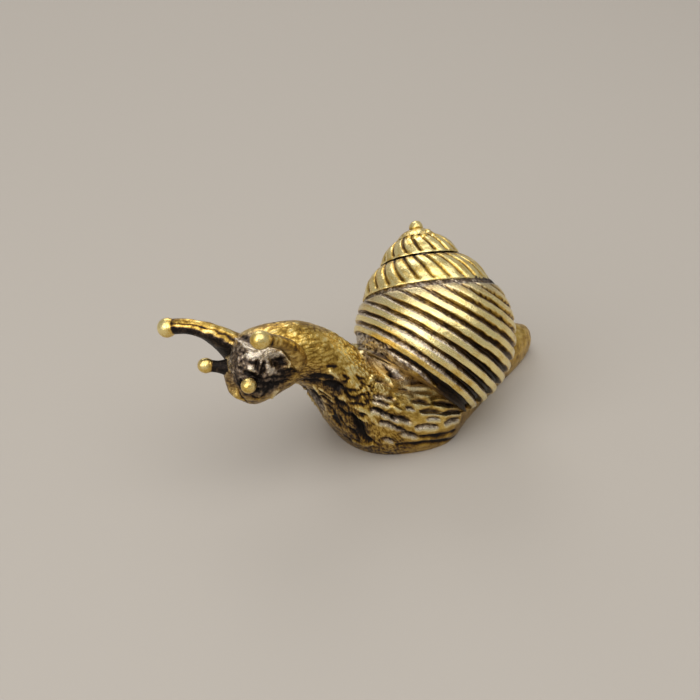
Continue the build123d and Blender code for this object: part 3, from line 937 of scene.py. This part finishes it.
for strokes, stain in ((FACE, FACE_STAIN), (FORM, 0)):
    for pixels, half_width, depth in strokes:
        snail.press(snail.traced(pixels), half_width, depth, stain)
for spot in SPOTS:
    snail.spot(*spot)
print("strokes of the face", len(FACE), "and spots", len(SPOTS))

# %% [markdown]
# ## Skin
# Between the strokes the skin is never smooth. The neck is scratched like old leather, a
# collar in front of the shell breaks into pebbles, the chest is finely wrinkled, and the rest
# has shallow, wormy unevenness. All of it comes from noise in space, so it has no seam.

# %% Noises and regions of the skin
COLLAR_PLACE, COLLAR_REACH = -8.4, 2.0  # mm along X
PEBBLE, WRINKLE = 0.5, 0.42  # mm across

points = snail.points


def cracks(size, stretch=(1, 1, 1)):
    """1 along the borders between cells of about size millimetres, 0 inside them."""
    found = []
    for point in points * stretch:
        near = noise.voronoi(Vector(point) / size)[0]
        found.append(near[1] - near[0])
    return ease(0.3, 0.03, np.array(found))


pebbled = cracks(PEBBLE)
scaled = cracks(PEBBLE, (0.4, 1, 2.0))
wormy = rough(points, 0.55, 1.0)
fine = rough(points, 0.25, 8.0)
broad = rough(points, 2.2, 4.0)
specks = rough(points, 0.3, 6.0)
x_axis, z_axis = points[:, 0], points[:, 2]
on_neck = ease(-5.0, -7.5, x_axis) * ease(6.0, 9.0, z_axis) * ease(-17.5, -16.0, x_axis)
collar = np.exp(-((x_axis - COLLAR_PLACE) / COLLAR_REACH)**2) * ease(7.0, 8.5, z_axis)
face = ease(-17.0, -18.5, x_axis) * ease(12.5, 11.0, z_axis)
chest = ease(-4.0, -6.5, x_axis) * ease(9.5, 7.5, z_axis)
wrinkled = cracks(WRINKLE, (0.5, 0.8, 1.4)) * chest
calm = 1 - 0.5 * on_neck
unrubbed = np.clip(snail.patina, 0, 1)
print("points on the collar", int(collar.sum()))

# %% Relief and marks of the skin
PEBBLE_DEPTH = 0.15
SCRATCH_DEPTH = 0.02
WRINKLE_DEPTH = 0.05
WORM_HEIGHT, BROAD_HEIGHT, FINE_HEIGHT = 0.04, 0.05, 0.03
SPECK_HEIGHT = 0.065
BASE_HOLLOW, HOLLOW_SHARE = 0.25, 0.56  # how the strokes' marks become the finish's mark

snail.push += (-PEBBLE_DEPTH * collar * pebbled - SCRATCH_DEPTH * on_neck * scaled
               + WORM_HEIGHT * wormy * calm + BROAD_HEIGHT * broad
               + FINE_HEIGHT * fine * (0.4 + face))
snail.hollow += (1.3 * collar * pebbled + 0.6 * on_neck * (1 - collar) * scaled - 0.75 * collar
                 - 0.3 * wormy * calm - 0.2 * broad - 0.35 * fine * (0.3 + face))
snail.push -= WRINKLE_DEPTH * wrinkled
# The last term darkens the skin towards the sole: painted shade near the floor.
snail.hollow += 0.7 * wrinkled + 0.3 * chest * broad + 0.25 * ease(4.5, 1.5, z_axis)
snail.push += SPECK_HEIGHT * specks * unrubbed
snail.hollow += 0.9 * specks * unrubbed + 0.35 * face
snail.patina += 0.35 * face
hollow = np.clip(BASE_HOLLOW + HOLLOW_SHARE * snail.hollow, 0, 1)
patina = np.clip(snail.patina, 0, 1)
print("deepest and highest marks", snail.push.min().round(2), snail.push.max().round(2), "mm")

# %% Move the skin and finish the body
DRAWN_IN = 0.14  # share by which skin under the shell is drawn towards the middle of the ball

lifted = ease(0.02, 0.5, z_axis)  # the sole stays flat
moved = points + snail.square * (snail.push * lifted)[:, None]
offset = moved - BALL
behind = ease(0.0, 0.5, (points - mouth) @ POLE)
inner = ease(BALL_RADIUS + 0.25, BALL_RADIUS - 0.5, np.linalg.norm(offset, axis=1)) * behind
move_to(snail.bm, BALL + offset * (1 - DRAWN_IN * inner)[:, None])
finished(snail.bm, "body", body_brass, "body_casting", "body_brass",
         hollow=hollow, patina=patina)

# %% [markdown]
# ## Stalks and feelers
# Each stalk is a thin tube along a bent line that swells into a ball at its tip and flares
# where it leaves the head. One function makes all four: the radius along the line is the
# larger of the tapered stalk and the circle of the ball, softly joined. The two far ones have
# a thin web below. The far stalk has painted shade underneath and a line of painted shade
# above that, the balls are painted a little darker underneath, both feelers are stained black
# all round, and the near stalk is worn to gold.

# %% Stalks
# A stalk's stain also sets the painted shade on its underside and the painted shade line above
# it; from 1.6 on it stains the whole stalk black.
STALKS = (  # node; root, bend and tip; radii of root, waist and ball; web, stain and flare
    ("upper_tentacle_right",
     (-18.0, 4.48, 13.26), (-20.32, 7.1, 14.7), (-22.2, 9.63, 14.28),
     1.0, 0.74, 0.93, 0.9, 1.0, 0.2),
    ("upper_tentacle_left",
     (-14.88, -0.61, 13.14), (-16.7, -1.15, 15.6), (-19.66, -1.54, 17.46),
     0.85, 0.62, 0.86, 0.0, 0.1, 0.1),
    ("lower_feeler_right",
     (-19.08, 3.71, 11.58), (-20.08, 4.48, 11.7), (-21.1, 5.22, 11.88),
     0.85, 0.56, 0.7, 0.2, 1.8, 0.3),
    ("lower_feeler_left",
     (-18.64, 1.09, 11.28), (-19.4, 0.42, 11.7), (-20.22, -0.32, 12.18),
     0.85, 0.56, 0.7, 0.0, 1.6, 0.2),
)
ROOT_DEPTH = 0.9  # how far a stalk is let into the head
STALK_GRID = (100, 56)  # faces along it and around


def bent_line(root, bend, tip, share):
    """Point and heading on the curve through three points, which runs straight on beyond."""
    part = min(max(share, 0), 1)
    point = (root * (1 - part) * (1 - 2 * part) + bend * (4 * part * (1 - part))
             + tip * (part * (2 * part - 1)))
    slope = root * (4 * part - 3) + bend * (4 - 8 * part) + tip * (4 * part - 1)
    return point + slope * (share - part), slope / np.linalg.norm(slope)


def make_stalk(node, root, bend, tip, root_radius, waist, ball, web, stain, flare):
    root, bend, tip = (np.array(point) for point in (root, bend, tip))
    length = np.linalg.norm(bend - root) + np.linalg.norm(tip - bend)
    first, last = -ROOT_DEPTH / length, 1 + ball / length

    def place(along, around):
        share = first + (last - first) * along
        middle, heading = bent_line(root, bend, tip, share)
        run = share * length
        taper = waist + (root_radius - waist) * ease(0.6, 0.0, share)
        taper += flare * math.exp(-((run + 0.2) / 0.6)**2)
        to_ball = run - length
        taper *= ease(ball * 0.75, -ball * 0.2, to_ball)
        bulb = math.sqrt(max(ball**2 - to_ball**2, 0))
        radius = max(taper, bulb) + 0.08 * math.exp(-((taper - bulb) / 0.15)**2) * (to_ball < 0)
        if along > 0.9999:
            radius = 0
        across = np.cross(heading, (0, 0, 1))
        across /= np.linalg.norm(across)
        over = np.cross(across, heading)
        angle = 2 * math.pi * around
        fin = web * ease(0.6, -0.1, share) * max(0, -math.sin(angle))**3
        beside = middle + across * math.cos(angle) + over * math.sin(angle)
        bumps = noise.noise(Vector(beside) * 1.4)
        reach = radius * (1 + 0.05 * bumps * (run < length - ball))
        return (middle + across * (reach * math.cos(angle))
                + over * ((reach + fin) * math.sin(angle)))

    bm = rolled_grid(*STALK_GRID, place)
    points = places(bm)
    facing_up = normals(bm)[:, 2]
    from_tip = np.linalg.norm(points - tip, axis=1)
    from_root = np.linalg.norm(points - root, axis=1)
    stem = ease(ball * 1.1, ball * 1.35, from_tip)
    neck = np.exp(-((from_tip - ball * 1.25) / 0.22)**2)
    dark = min(stain, 1)
    # Painted shade on the underside of the stalk, and for a stain of 1.6 and more a black stain
    # all round.
    shade_below_and_stain = np.maximum(ease(0.46, 0.32, facing_up), ease(1.0, 1.6, stain)) * stem * dark
    # Painted shade: a dark line along the stalk where its top turns into its side.
    painted_shade_line = np.exp(-((facing_up - 0.74) / 0.07)**2) * stem * dark
    hollow = (0.04 + 0.4 * stem + 0.3 * neck + 0.4 * rough(points, 0.5) * stem + 0.6 * shade_below_and_stain
              + 0.7 * painted_shade_line)
    # The last term paints shade on the underside of each ball.
    hollow += (0.25 * ease(1.6, 0.6, from_root) * stain
               + 0.1 * (1 - stem) * ease(0.3, -0.6, facing_up))
    patina = np.clip(0.9 * shade_below_and_stain + 0.6 * ease(1.5, 0.6, from_root) * dark, 0, 1)
    finished(bm, node + "_skin", stalk_brass, node, "stalk_brass",
             hollow=np.clip(hollow, 0, 1), patina=patina)


for stalk in STALKS:
    make_stalk(*stalk)

# %% [markdown]
# ## Floor and light
# A plain pale floor carries the snail. The lamps are large and soft, because brass shows what
# it reflects: one big lamp overhead for the bright crests, a weaker one from the left for the
# face, a small one behind for the rims, and a pale surround. They are kept low enough that the
# floor doesn't burn out to white.

# %% Floor, world and lamps
FLOOR_SIZE = 1.2  # metres
FLOOR_COLOUR = (0.46, 0.43, 0.395)
SURROUND = (0.62, 0.6, 0.57)
SURROUND_STRENGTH = 0.65
LAMPS = (  # name; place and aim in metres; size in metres; watts; colour
    ("overhead lamp", (-0.03, -0.08, 0.34), (0, 0, 0.01), (0.5, 0.4), 0.85, (1.0, 0.97, 0.92)),
    ("side lamp", (-0.3, -0.05, 0.2), (-0.01, 0, 0.01), (0.34, 0.24), 0.5, (1.0, 0.98, 0.96)),
    ("back lamp", (0.15, 0.3, 0.25), (0, 0, 0.01), (0.2, 0.2), 0.3, (1.0, 0.97, 0.93)),
)

bm = bmesh.new()
bmesh.ops.create_grid(bm, x_segments=1, y_segments=1, size=FLOOR_SIZE)
floor_mesh = bpy.data.meshes.new("floor")
bm.to_mesh(floor_mesh)
bm.free()
floor = bpy.data.objects.new("floor", floor_mesh)
scene.collection.objects.link(floor)
floor_nodes = Nodes("floor paint")
floor_nodes.shader.inputs["Base Color"].default_value = (*FLOOR_COLOUR, 1)
floor_nodes.shader.inputs["Roughness"].default_value = 0.9
floor_nodes.shader.inputs["Specular IOR Level"].default_value = 0.1
floor_mesh.materials.append(floor_nodes.material)

world = bpy.data.worlds.new("studio")
scene.world = world
world.use_nodes = True
background = world.node_tree.nodes["Background"]
background.inputs["Color"].default_value = (*SURROUND, 1)
background.inputs["Strength"].default_value = SURROUND_STRENGTH


def add_lamp(name, place, aim, size, watts, colour):
    data = bpy.data.lights.new(name, "AREA")
    data.shape = "RECTANGLE"
    data.size, data.size_y = size
    data.energy = watts
    data.color = colour
    lamp = bpy.data.objects.new(name, data)
    lamp.location = place
    lamp.rotation_euler = (Vector(aim) - Vector(place)).to_track_quat("-Z", "Y").to_euler()
    scene.collection.objects.link(lamp)


for lamp in LAMPS:
    add_lamp(*lamp)
scene.view_settings.view_transform = "Standard"
